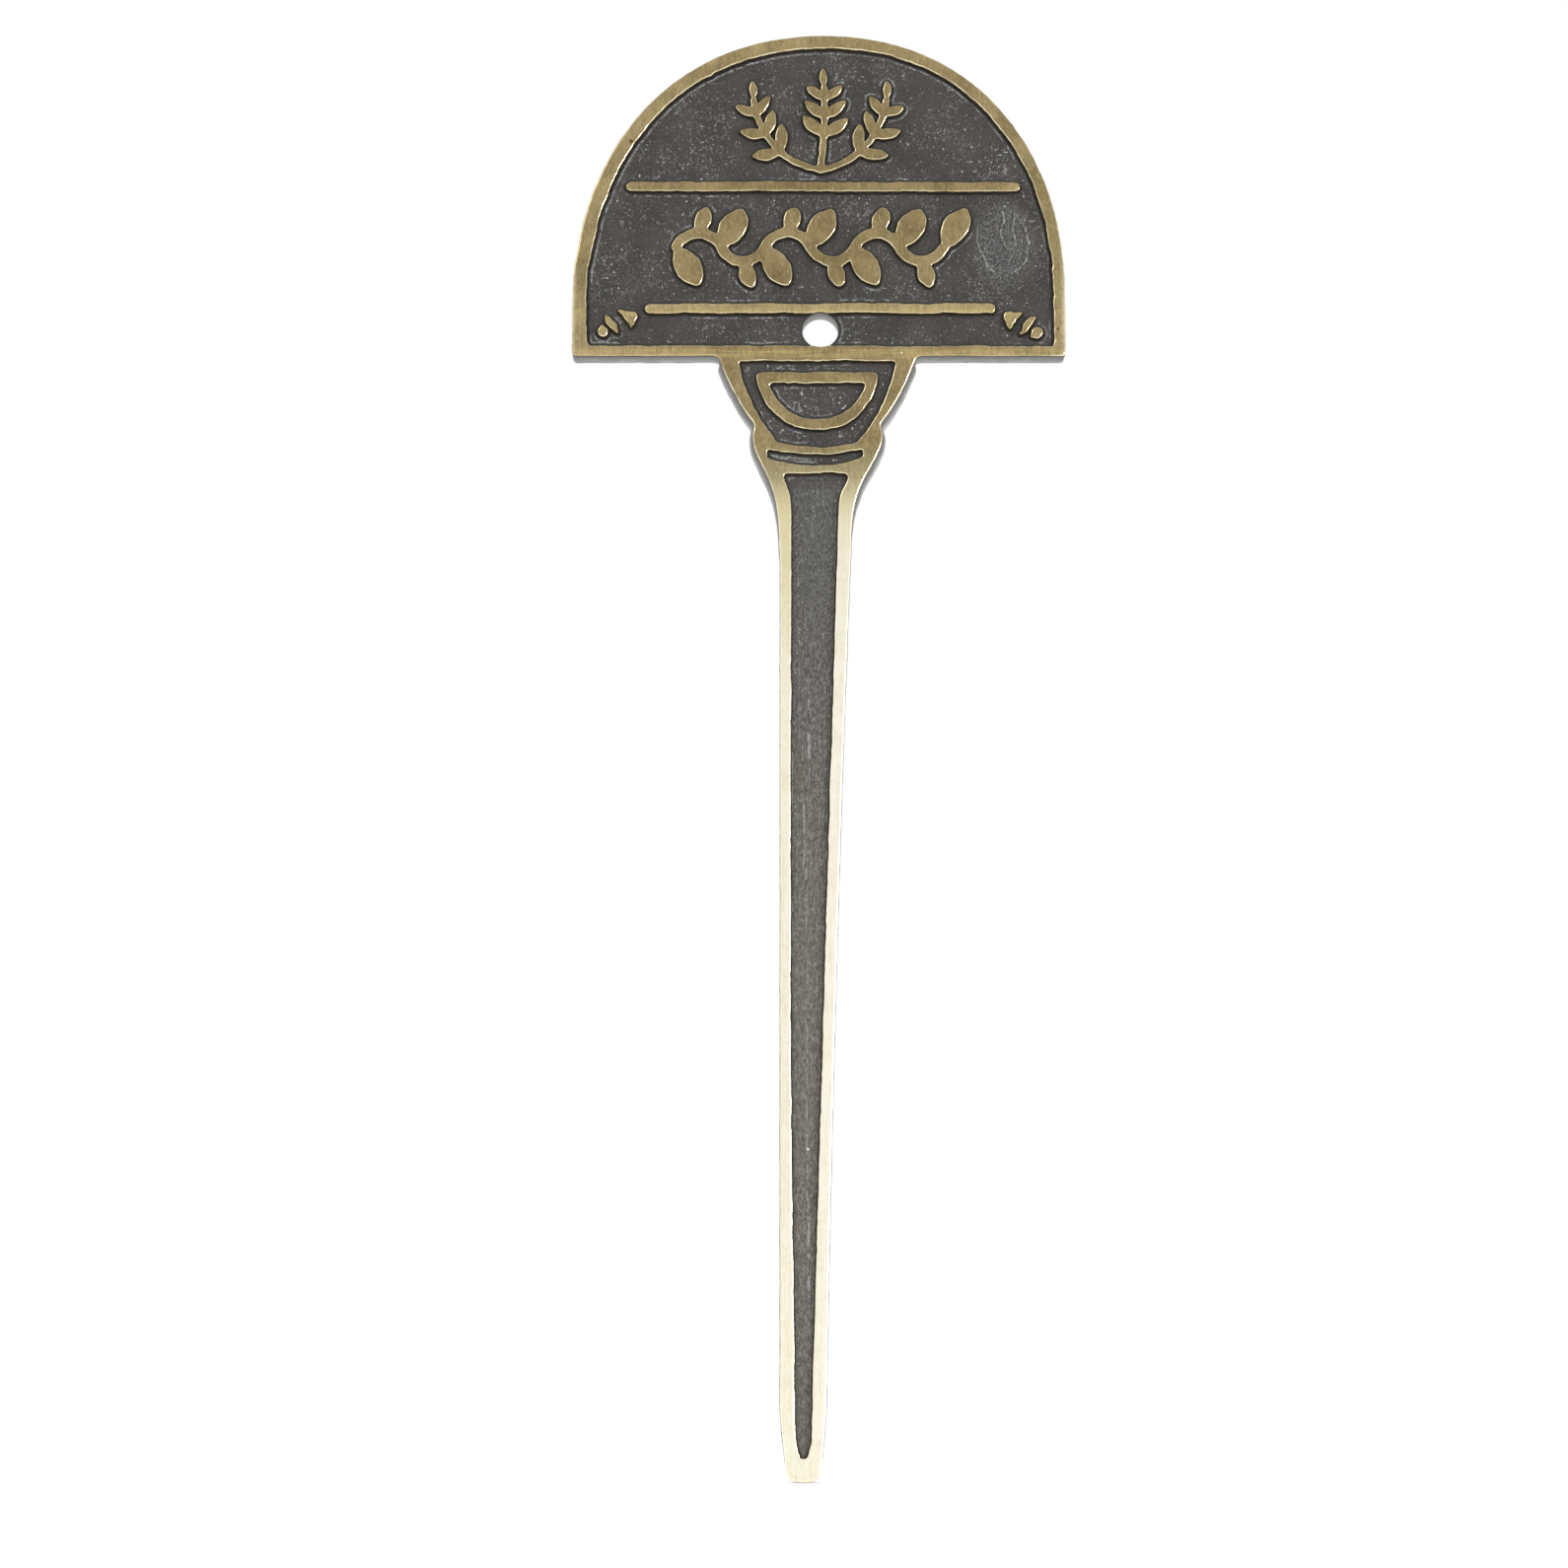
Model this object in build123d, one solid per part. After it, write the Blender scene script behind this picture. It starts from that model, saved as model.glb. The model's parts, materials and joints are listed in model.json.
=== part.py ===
"""A sand-cast brass plant label stake with dark paint in its recesses.

It stands on its tip: +Z runs from the tip up to the head, +X to the right and the face looks along -Y.
The casting is one flat plate. Its recesses leave the rims, rules and ornaments standing at the front face.
"""

import os
from math import atan2, copysign, cos, degrees, pi, sin

from build123d import *

# Heights of the stake's zones, from the tip up
blade_length = 150.9
bowl_height = 11.0
head_skirt = 8.8
crown_height = 43.7

# Section of the plate
thickness = 4.0
relief = 0.8
paint = 0.12

# Head: upright sides on a flat foot, and over them a round crown that leans a little to the right
head_half = 38.1
head_shift = -0.24
head_corner = 0.7
rim_width = 2.1
field_shift = -0.02
field_corner = 0.8
bar_height = 1.7
hole_radius = 2.8
hole_bite = 0.18
rule_height = 1.6
lower_rule_gap = 8.9
upper_rule_gap = 2.3
upper_rule_shift = 0.55
label_height = 18.2

# Bowl: a cup below the head, and in its recess a raised ring cut off flat at the top
neck_shift = -0.45
mouth_half = 15.3
mouth_fillet = 1.0
notch_half = 9.6
bar_lip = 0.75
bowl_mouth_band = 3.3
bowl_side_band = 2.1
bowl_floor_band = 3.4
bowl_floor_drop = 3.5
bowl_floor_sag = 0.9
bowl_corner = 1.0
ring_band = 1.8
ring_top_gap = 1.75
ring_side_gap = 2.6
ring_foot_gap = 2.6
ring_corner = 0.9

# Collar with its groove, between the bowl's recess and the blade's channel
collar_swell = 0.4
collar_land = 1.2
shoulder_drop = 23.0
groove_band = 2.65
groove_shift = -0.4
groove_sag = 0.8
groove_end = 1.2
groove_middle = 1.75
groove_corner = 0.4
channel_land = 1.25

# Blade: a straight left edge and a right edge that draws in and hollows a little
blade_back = 6.2
blade_root_width = 10.7
blade_end_width = 6.8
blade_hollow = 0.35
tip_length = 11.5
tip_width = 5.0
tip_round = 1.7
left_band = 1.75
right_band = 1.85
channel_end_band = 2.3
channel_hollow = 0.06
channel_lean = 46.0
channel_left_flare = 1.1
channel_right_flare = 1.45
channel_flare_drop = 7.0
channel_foot = 3.4
channel_tip_width = 0.9
channel_tip_length = 2.7
channel_corner = 0.6

# Running vine between the rules, and the sprig above them
vine_waves = 6
vine_end_gap = 6.4
vine_shift = -1.6
vine_leaf_tilt = 60
vine_bud_tilt = 72
sprig_foot_gap = 1.9
sprig_top_gap = 2.9
sprig_leaf_tilt = 47

# Ornaments in the lower corners of the head: a dot, a slanted petal and a notched bud
dot_gap = 2.4
dot_width = 1.6
dot_height = 1.8
dot_rise = 2.2
petal_length = 4.4
petal_width = 1.25
petal_tilt = 53
petal_inset = 1.6
petal_rise = 3.3
bud_base = 3.4
bud_depth = 3.3
bud_notch = 0.55
bud_inset = 3.8
bud_rise = 5.6

# Shares. The crown's power, where 2 is an ellipse and more is fuller, its lean, of its height, and its points
crown_power_share = 2.156
crown_lean_share = 0.019
crown_steps = 24
# The sides of the bowl and the shoulder: (half width, height) and (drop, width beyond the blade)
bowl_side_share = (0.823, 0.42)
shoulder_shares = ((0.08, 1.0), (0.24, 0.76), (0.37, 0.43), (0.52, 0.18), (0.70, 0.06))
# The vine's parts, of its pitch, and the sprig's, of its height. Leaves: (length, width)
vine_rise_share = 0.34
vine_stem_share = 0.24
vine_leaf_shares = (1.06, 0.60)
vine_bud_shares = (0.66, 0.41)
sprig_stem_share = 0.08
sprig_lean_share = 0.05
sprig_leaf_shares = (0.36, 0.145)
side_branch_shares = (0.75, 0.84, 0.19)
branch_shares = ((0.40, 1.0), (0.62, 0.92), (0.84, 0.80), (1, 0.72))

# Levels and sizes that follow from those above
collar_height = bowl_floor_drop + collar_land + groove_middle + channel_land
bowl_foot = blade_length + collar_height
bowl_floor = bowl_foot - bowl_floor_drop
head_foot = bowl_foot + bowl_height
crown_foot = head_foot + head_skirt
bar_top = head_foot + bar_height
hole_centre = bar_top + hole_radius - hole_bite
lower_rule_middle = hole_centre + hole_radius - hole_bite + rule_height / 2
upper_rule_middle = lower_rule_middle + rule_height + label_height
label_middle = (lower_rule_middle + upper_rule_middle) / 2
bowl_field_half = mouth_half - bowl_mouth_band
ring_top = head_foot - bar_lip - ring_top_gap
ring_radius = min(bowl_field_half - ring_side_gap, ring_top - bowl_floor - ring_foot_gap)


def plate(face, depth, height):
    """A flat solid of the given height, its front lying at a depth below the stake's face."""
    front = Plane.XZ.offset(thickness / 2 - depth)
    return extrude(front * face, amount=-height)


def rounded(face, points, radius):
    """The face with its corners nearest to the points rounded."""
    corners = [face.vertices().sort_by_distance(point)[0] for point in points]
    return fillet(corners, radius)


def mirrored_pair(centre, half, z):
    return (centre - half, z), (centre + half, z)


def crown_line(inset, shift):
    """The round of the head above its upright sides, drawn in by an inset, from right to left."""
    half, height = head_half - inset, crown_height - inset
    points = []
    for step in range(crown_steps + 1):
        angle = pi * step / crown_steps
        across, up = (abs(part(angle)) ** (2 / crown_power_share) for part in (cos, sin))
        across = copysign(across, cos(angle)) * half + up * height * crown_lean_share
        points.append((shift + across, crown_foot + up * height))
    return Spline(*points, tangents=[(crown_lean_share, 1), (-crown_lean_share, -1)])


def half_round(inset, shift, foot):
    """The crown with its upright sides down to a foot."""
    left, right = mirrored_pair(shift, head_half - inset, foot)
    crown = crown_line(inset, shift)
    return make_face(crown + Polyline(crown @ 1, left, right, crown @ 0))


def field_half(z):
    """Half the width of the head's field at a height."""
    rise = max(z - crown_foot, 0) / (crown_height - rim_width)
    return (head_half - rim_width) * (1 - rise**crown_power_share) ** (1 / crown_power_share)


def head_outline():
    corners = mirrored_pair(head_shift, head_half, head_foot)
    return rounded(half_round(0, head_shift, head_foot), corners, head_corner)


def bowl_outline():
    """The cup under the head, from its mouth at the head down to the notch over the collar."""
    side_half = mouth_half * bowl_side_share[0]
    side_z = bowl_foot + bowl_height * bowl_side_share[1]
    mouth = mirrored_pair(neck_shift, mouth_half, head_foot)
    waist = mirrored_pair(neck_shift, side_half, side_z)
    notch = mirrored_pair(neck_shift, notch_half, bowl_foot)
    left, right = (ThreePointArc(*points) for points in zip(mouth, waist, notch))
    return make_face(left + Line(left @ 1, right @ 1) + right + Line(right @ 0, left @ 0))


def shoulder(start, swell, edge, drop):
    """A side of the collar or of the channel's mouth: it swells and then runs down into an edge."""
    x, z = start
    reach = x + swell - edge
    curve = [(edge + reach * wide, z - drop * share) for share, wide in shoulder_shares]
    return Spline(start, *curve, (edge, z - drop))


def blade_face(left, right, hollow, end, tip_corner):
    """What lies below two shoulders: the right edge tapers and hollows down to its end.

    end has the points from the left edge round the tip to the right edge; its middle two are the tip.
    """
    foot = Polyline(left @ 1, *end)
    halfway = (right @ 1 + foot @ 1) / 2
    taper = ThreePointArc(right @ 1, (halfway.X - hollow, halfway.Y), foot @ 1)
    face = make_face(left + foot + taper + right + Line(right @ 0, left @ 0))
    return rounded(face, end[-3:-1], tip_corner)


def blade_outline():
    """The collar and the blade, from the notch under the bowl down to the tip."""
    notch = mirrored_pair(neck_shift, notch_half, bowl_foot)
    left_shoulder = shoulder(notch[0], -collar_swell, -blade_back, shoulder_drop)
    right_shoulder = shoulder(notch[1], collar_swell, blade_root_width - blade_back, shoulder_drop)
    middle = blade_end_width / 2 - blade_back
    left, right = mirrored_pair(middle, blade_end_width / 2, tip_length)
    tip = mirrored_pair(middle, tip_width / 2, 0)
    return blade_face(left_shoulder, right_shoulder, blade_hollow, [left, *tip, right], tip_round)


def silhouette():
    face = head_outline() + bowl_outline() + blade_outline()
    return rounded(face, mirrored_pair(neck_shift, mouth_half, head_foot), mouth_fillet)


def leaf(length, width):
    """A leaf along +X from its base, pointed at both ends."""
    upper = SagittaArc((0, 0), (length, 0), width / 2)
    return make_face(upper + mirror(upper, about=Plane.XZ))


def vine(length):
    """A running vine: arches up and down in turn, a leaf at every arch's foot and a bud on its crest."""
    growth = Sketch()
    pitch = length / vine_waves
    shares = (vine_leaf_shares, vine_bud_shares)
    hollow_leaf, bud = (leaf(pitch * long, pitch * wide) for long, wide in shares)
    for wave in range(vine_waves):
        up = 1 if wave % 2 == 0 else -1
        x = wave * pitch - length / 2
        crest = (x + pitch / 2, label_middle + up * pitch * vine_rise_share)
        arch = ThreePointArc((x, label_middle), crest, (x + pitch, label_middle))
        growth += SlotArc(arch, pitch * vine_stem_share)
        growth += Pos(x, label_middle) * Rot(0, 0, -up * vine_leaf_tilt) * hollow_leaf
        growth += Pos(*crest) * Rot(0, 0, up * vine_bud_tilt) * bud
    return growth + Pos(length / 2, label_middle) * Rot(0, 0, vine_leaf_tilt) * hollow_leaf


def branch(stem, height):
    """A stem with pairs of leaves that shrink towards the leaf at its top; height is the whole sprig's."""
    growth = SlotArc(stem, height * sprig_stem_share)
    long, wide = (height * share for share in sprig_leaf_shares)
    for along, size in branch_shares:
        heading = degrees(atan2((stem % along).Y, (stem % along).X))
        for tilt in (0,) if along == 1 else (-sprig_leaf_tilt, sprig_leaf_tilt):
            growth += Pos(stem @ along) * Rot(0, 0, heading + tilt) * leaf(size * long, size * wide)
    return growth


def sprig():
    """Three branches from one foot, in the room above the upper rule: the outer two bow to the sides."""
    foot = upper_rule_middle + rule_height / 2 + sprig_foot_gap
    room = crown_foot + crown_height - rim_width - sprig_top_gap - foot
    height = room / (1 + branch_shares[-1][1] * sprig_leaf_shares[0])
    lean = height * sprig_lean_share
    growth = branch(SagittaArc((0, foot), (lean, foot + height), -lean / 2), height)
    reach, rise, bow = (height * share for share in side_branch_shares)
    for side in (-1, 1):
        growth += branch(SagittaArc((0, foot), (side * reach, foot + rise), -side * bow), height)
    return growth


def corner_ornament(side):
    """A dot, a slanted petal and a notched bud, from the rim inwards; side is -1 at the left."""
    dot_x = field_half(bar_top) - dot_gap
    dot = Pos(dot_x, bar_top + dot_rise) * Ellipse(dot_width / 2, dot_height / 2)
    petal = Pos(-petal_length / 2, 0) * leaf(petal_length, petal_width)
    petal = Pos(dot_x - petal_inset, bar_top + petal_rise) * Rot(0, 0, petal_tilt) * petal
    bud_x = dot_x - bud_inset
    bud_z = bar_top + bud_rise
    bud = Polygon(
        (bud_x - bud_base / 2, bud_z),
        (bud_x, bud_z - bud_notch),
        (bud_x + bud_base / 2, bud_z),
        (bud_x - bud_base / 4, bud_z - bud_depth),
        align=None,
    )
    ornament = dot + petal + bud
    return ornament if side > 0 else mirror(ornament, about=Plane.YZ)


def rule(length, shift, middle):
    return Pos(shift, middle) * SlotOverall(length, rule_height)


def head_ground():
    """The head's recess: the field inside the rim, less all that stands in it."""
    corner = mirrored_pair(field_shift, head_half - rim_width, bar_top)[0]
    field = rounded(half_round(rim_width, field_shift, bar_top), [corner], field_corner)
    upper_length = 2 * (field_half(upper_rule_middle) - upper_rule_gap)
    lower_length = 2 * (field_half(lower_rule_middle) - lower_rule_gap)
    raised = rule(upper_length, field_shift + upper_rule_shift, upper_rule_middle)
    raised += rule(lower_length, 0, lower_rule_middle)
    raised += Pos(vine_shift, 0) * vine(lower_length - 2 * vine_end_gap) + sprig()
    raised += corner_ornament(-1) + corner_ornament(1)
    return field - raised - hole()


def hole():
    return Pos(0, hole_centre) * Circle(hole_radius)


def ring_disc(radius, top):
    """A disc about the middle of the ring's top line, cut off flat at the given height."""
    below = Rectangle(2 * ring_radius, 2 * ring_radius, align=(Align.CENTER, Align.MAX))
    return (Pos(neck_shift, ring_top) * Circle(radius)) & (Pos(neck_shift, top) * below)


def bowl_ground():
    """The bowl's recess round the ring."""
    half, height = bowl_side_share
    mouth = mirrored_pair(neck_shift, bowl_field_half, head_foot - bar_lip)
    waist = mirrored_pair(neck_shift, mouth_half * half - bowl_side_band, bowl_foot + bowl_height * height)
    corners = mirrored_pair(neck_shift, notch_half - bowl_floor_band, bowl_floor + bowl_floor_sag)
    left, right = (ThreePointArc(*points) for points in zip(mouth, waist, corners))
    bottom = ThreePointArc(left @ 1, (neck_shift, bowl_floor), right @ 1)
    field = make_face(left + bottom + right + Line(right @ 0, left @ 0))
    ring_corners = mirrored_pair(neck_shift, ring_radius, ring_top)
    ring = rounded(ring_disc(ring_radius, ring_top), ring_corners, ring_corner)
    return rounded(field, corners, bowl_corner) - ring


def ring_ground():
    """The recess inside the ring."""
    face = ring_disc(ring_radius - ring_band, ring_top - ring_band)
    return fillet(face.vertices(), ring_corner / 2)


def groove_ground():
    """The sagging groove across the collar."""
    centre = neck_shift + groove_shift
    half = notch_half + collar_swell - groove_band
    top = bowl_floor - collar_land + groove_sag
    upper = mirrored_pair(centre, half, top)
    lower = mirrored_pair(centre, half, top - groove_end)
    over = ThreePointArc(upper[0], (centre, top - groove_sag), upper[1])
    under = ThreePointArc(lower[0], (centre, top - groove_sag - groove_middle), lower[1])
    face = make_face(over + Line(over @ 1, under @ 1) + under + Line(under @ 0, over @ 0))
    return fillet(face.vertices(), groove_corner)


def channel_ground():
    """The long recess inside the blade's outline: its mouth flares, its left edge leans in low down."""
    left_edge = left_band - blade_back
    right_edge = blade_root_width - blade_back - right_band
    left_mouth = (left_edge - channel_left_flare, blade_length)
    right_mouth = (right_edge + channel_right_flare, blade_length)
    left_shoulder = shoulder(left_mouth, 0, left_edge, channel_flare_drop)
    right_shoulder = shoulder(right_mouth, 0, right_edge, channel_flare_drop)
    middle = blade_end_width / 2 - blade_back
    tip_top = channel_foot + channel_tip_length
    left, right = mirrored_pair(middle, blade_end_width / 2 - channel_end_band, tip_top)
    tip = mirrored_pair(middle, channel_tip_width / 2, channel_foot)
    end = [(left_edge, channel_lean), left, *tip, right]
    face = blade_face(left_shoulder, right_shoulder, channel_hollow, end, channel_tip_width / 3)
    return fillet(face.vertices().group_by(Axis.Y)[-1], channel_corner)


grounds = {
    "head_field_paint": head_ground(),
    "bowl_field_paint": bowl_ground(),
    "ring_field_paint": ring_ground(),
    "collar_groove_paint": groove_ground(),
    "blade_channel_paint": channel_ground(),
}

casting = plate(silhouette() - hole(), 0, thickness)
for ground in grounds.values():
    casting -= plate(ground, 0, relief)

os.makedirs("parts", exist_ok=True)
export_step(casting, "parts/brass_casting.step")
for name, ground in grounds.items():
    export_step(plate(ground, relief - paint, paint), f"parts/{name}.step")
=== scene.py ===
import json
import math

import bpy
import numpy as np
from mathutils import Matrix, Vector
from mathutils.geometry import delaunay_2d_cdt
from mathutils.kdtree import KDTree


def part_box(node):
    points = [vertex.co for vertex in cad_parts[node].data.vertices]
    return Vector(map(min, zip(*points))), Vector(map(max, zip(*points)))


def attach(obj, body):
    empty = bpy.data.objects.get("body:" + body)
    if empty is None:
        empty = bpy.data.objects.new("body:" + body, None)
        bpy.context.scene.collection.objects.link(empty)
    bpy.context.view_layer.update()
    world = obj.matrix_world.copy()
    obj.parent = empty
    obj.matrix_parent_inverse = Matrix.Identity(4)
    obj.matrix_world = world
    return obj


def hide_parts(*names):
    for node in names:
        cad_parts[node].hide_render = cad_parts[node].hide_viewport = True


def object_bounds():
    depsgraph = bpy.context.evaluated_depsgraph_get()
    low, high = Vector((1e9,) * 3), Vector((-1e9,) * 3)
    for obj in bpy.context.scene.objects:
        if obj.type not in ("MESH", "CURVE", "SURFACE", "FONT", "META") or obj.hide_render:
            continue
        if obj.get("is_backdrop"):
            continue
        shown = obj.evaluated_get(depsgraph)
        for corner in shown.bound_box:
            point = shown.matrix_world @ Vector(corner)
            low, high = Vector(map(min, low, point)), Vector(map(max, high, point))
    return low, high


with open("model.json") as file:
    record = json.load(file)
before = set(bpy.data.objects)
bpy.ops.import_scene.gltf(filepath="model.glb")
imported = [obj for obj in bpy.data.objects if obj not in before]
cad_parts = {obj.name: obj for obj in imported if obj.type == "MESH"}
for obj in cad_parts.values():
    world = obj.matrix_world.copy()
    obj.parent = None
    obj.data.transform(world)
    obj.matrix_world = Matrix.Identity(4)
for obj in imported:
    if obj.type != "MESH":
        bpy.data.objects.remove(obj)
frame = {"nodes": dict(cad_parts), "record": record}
cad_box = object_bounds()

# Everything is worked out in mm: a flat point is (x, z), and a depth runs from the front face backwards
MM = 0.001
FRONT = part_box("brass_casting")[0].y / MM
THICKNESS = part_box("brass_casting")[1].y / MM - FRONT
PAINT_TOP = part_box("head_field_paint")[0].y / MM - FRONT
PAINT_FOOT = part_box("head_field_paint")[1].y / MM - FRONT
BOX_LOW, BOX_HIGH = (np.array([corner.x, corner.z]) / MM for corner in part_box("brass_casting"))

hole_mount = next(m for m in frame["record"]["mounts"] if m["name"] == "hang_hole")
HOLE = np.array([hole_mount["pos_m"][0], hole_mount["pos_m"][2]]) / MM
HOLE_RADIUS = hole_mount["dims"]["r_mm"]

# Outlines: their points' spacing, what counts as a corner, a line and a small loop, and rounds of softening
SPACING = 0.28
CORNER_ANGLE = math.radians(28)
LINE_RATIO = 2.5
SMALL_LOOP = 16
SOFTENING, SMALL_SOFTENING = 3, 7

# Slack: how far a face may turn from the front or lie from its level in m, and a point from the hole's wall.
# What keeps a length from being 0, how close points are merged and how many are looked at in one go
FORWARD, LEVEL_SLACK = -0.9, 1e-5
HOLE_SLACK = 0.03
TINY, TINY_SQUARE = 1e-9, 1e-12
MERGED = 1e-6
CHUNK = 400

# Hand work: how far outlines wander, the fields they follow (cell, share, shift), the shifts that give x and
# z fields of their own, and the share that the blade's edges lose
WANDER, OUTER_WANDER, CORNER_WANDER = 0.2, 0.07, 0.42
WANDER_FIELDS = ((3.1, 0.6, 1), (0.95, 0.4, 6), (0.6, 0.2, 9))
WANDER_WAYS = (0, 30)
OUTER_INSET = 0.03
BLADE_CALM = 0.45

# Fades: where an effect sets in and where it is whole, up the stake or out from the middle or the hole's wall
TIP_WANDER, TIP_DRAFT = (0, 5), (1, 4)
HOLE_WANDER = (HOLE_RADIUS + 0.05, HOLE_RADIUS + 1.2)
CALM_OUTLINE, CALM_WALL = (152, 148), (150, 140)
CORNER_X, PAST_CORNER_X = (27.1, 27.9), (33.4, 34.4)
CORNER_Z, PAST_CORNER_Z = (172, 173), (178, 180)
COLLAR_DRAFT, PAST_NECK, PAST_BOWL_SIDE = (138, 152), (168.2, 169.4), (17, 19)
BELOW_BAR = (170.5, 169.5)
ABOVE_CHANNEL, IN_CHANNEL = (151, 152), (152, 151)

# Edges: a share of the reach into the metal, or into the recess for its walls, and a depth
EDGE_REACH, OUTER_REACH = 0.36, 0.42
EDGE_PROFILE = ((1.0, 0.0), (0.7, 0.004), (0.45, 0.03), (0.22, 0.09), (0.05, 0.18))
WALL_REACH = 0.17
WALL_PROFILE = ((0.0, 0.28), (0.35, 0.45), (0.7, 0.65), (1.0, 0.85))
SIDE_DEPTHS = (0.3, 0.5, 1.1, 1.8, 2.6, 3.3, 3.8)
BACK_PROFILE = ((0.07, 3.94), (0.22, 4.0))
HOLE_DEPTHS = (1.2, 2.2, 3.2, 3.85)
ROOM_TRIALS = (1.0, 0.8, 0.6, 0.45, 0.3, 0.15, 0.0)
ROOM_SLACK, ROOM_SOFTENING = 0.93, 3
LINISHED, RECESS, CAST = 0, 1, 2

# Side walls: their draft round the bowl and collar, its share elsewhere and the depths over which it grows.
# Then the sand's unevenness of the sides, the front and the back (height, cell, shift)
DRAFT, PLAIN_DRAFT_SHARE = 0.6, 0.22
DRAFT_DEPTHS = (0.2, 3.0)
SIDE_SAND = (0.09, 1.3, 3)
FRONT_SAND = (0.006, 5, 2)
BACK_SANDS = ((0.05, 2.5, 4), (0.04, 0.9, 5))

# Loose points inside faces: how far from edges they start and how far they are shaken, in shares of their
# spacing, and the spacings and seeds
EDGE_CLEARANCE, SHAKE = 0.7, 0.3
FRONT_SPACING, BACK_SPACING = 0.9, 0.8
FRONT_SEED, BACK_SEED, PAINT_SEED = 1, 2, 9

# The paint nodes, with the spacing of their loose points
PAINTS = {
    "head_field_paint": 0.24,
    "bowl_field_paint": 0.17,
    "ring_field_paint": 0.17,
    "collar_groove_paint": 0.15,
    "blade_channel_paint": 0.22,
}

# The ground that the sand left under the paint: how high its features stand, the fields that they follow
# (cell, shift), and the limits of the whole
SWELL, GRAIN, FINE, RIDGE, LUMP, COARSE, FLOW = 0.05, 0.15, 0.05, 0.1, 0.2, 0.16, 0.12
GROUND_FIELDS = {
    "crowd": (6.5, 24),
    "swell": (2.6, 20),
    "grain": (0.62, 21),
    "fine": (0.34, 23),
    "lump": (0.48, 27),
    "ridge": (1.7, 25),
    "ridge_run": (9, 26),
    "coarse": (0.42, 28),
}
HIGHEST_GRAIN, THINNEST_PAINT = 0.3, 0.02

# Where its bumps set in and where they are whole: in their fields' values, away from the nearest edge and the
# hole's middle, and beside a flow line. Then the least crowd of grains, and the share that the channel lacks
GROUND_BUMPS = {
    "crowd": (0.3, 0.75),
    "grain": (0.6, 0.95),
    "lump": (0.7, 0.95),
    "ridge": (0.45, 0.7),
    "ridge_run": (0.45, 0.65),
}
GROUND_GAPS = {"open": (0.3, 0.65), "lump": (0.3, 0.6), "ridge": (0.3, 0.5), "past_ridge": (0.6, 0.9)}
HOLE_RIDGE, FLOW_FADE = (4.2, 4.8), (0.06, 0.26)
LEAST_CROWD, CHANNEL_CALM = 0.25, 0.6

# Lines where sand flowed at the right of the head's field, how they bend (reach, cell, shifts), and the patch
# of coarse ground round them, which fades between these shares of its half size
FLOW_LINES = (
    ((24.0, 193.5), (24.5, 190.6), (24.4, 188.2), (25.3, 185.4), (27.0, 183.0)),
    ((28.1, 193.2), (28.5, 191.4), (28.1, 189.8), (28.7, 187.6)),
    ((32.1, 194.0), (31.8, 191.2), (32.3, 188.2), (32.0, 185.3), (30.9, 183.8), (29.4, 183.1)),
    ((30.2, 193.4), (30.0, 190.6), (30.4, 187.2), (29.5, 185.0)),
)
FLOW_BEND, FLOW_BEND_CELL, FLOW_BEND_SHIFTS = 0.5, 1.2, (51, 52)
PATCH_MIDDLE, PATCH_HALF = np.array([28.6, 187.6]), np.array([5.6, 8.4])
PATCH_FADE = (0.55, 1.0)

# What the points of a piece know: how far they lie from its nearest edge, from its outer outline and beside a
# flow line, and how deep in the coarse patch
MARKS = ("edge_gap", "outer_gap", "flow_gap", "flow_patch")

# Random numbers that the smooth fields are drawn from, and what sets shifted fields apart
LATTICE_SIZE = 256
LATTICE = np.random.default_rng(11).random((LATTICE_SIZE, LATTICE_SIZE))
SHIFT_U, SHIFT_V, FAR = 31.7, 17.3, 900


def smooth_field(points, cell, shift=0.0):
    """A smooth random field over flat points, from 0 to 1, whose bumps are about a cell apart."""
    u = points[:, 0] / cell + SHIFT_U * shift + FAR
    v = points[:, 1] / cell + SHIFT_V * shift + FAR
    i, j = np.floor(u).astype(int), np.floor(v).astype(int)
    a, b = u - i, v - j
    a, b = a * a * (3 - 2 * a), b * b * (3 - 2 * b)
    corner = lambda di, dj: LATTICE[(i + di) % LATTICE_SIZE, (j + dj) % LATTICE_SIZE]
    low = corner(0, 0) * (1 - a) + corner(1, 0) * a
    high = corner(0, 1) * (1 - a) + corner(1, 1) * a
    return low * (1 - b) + high * b


def smooth_step(value, start, end):
    t = np.clip((value - start) / (end - start), 0, 1)
    return t * t * (3 - 2 * t)


def beside_lines(flat, lines):
    """How far flat points lie beside the nearest of some open lines: below 0 to its right."""
    nearest, side = np.full(len(flat), np.inf), np.ones(len(flat))
    for line in map(np.array, lines):
        for start, run in zip(line, np.diff(line, axis=0)):
            across = flat - start - np.clip((flat - start) @ run / (run @ run), 0, 1)[:, None] * run
            away = np.linalg.norm(across, axis=1)
            side = np.where(away < nearest, np.sign(run[0] * across[:, 1] - run[1] * across[:, 0]), side)
            nearest = np.minimum(away, nearest)
    return nearest * side


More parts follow.
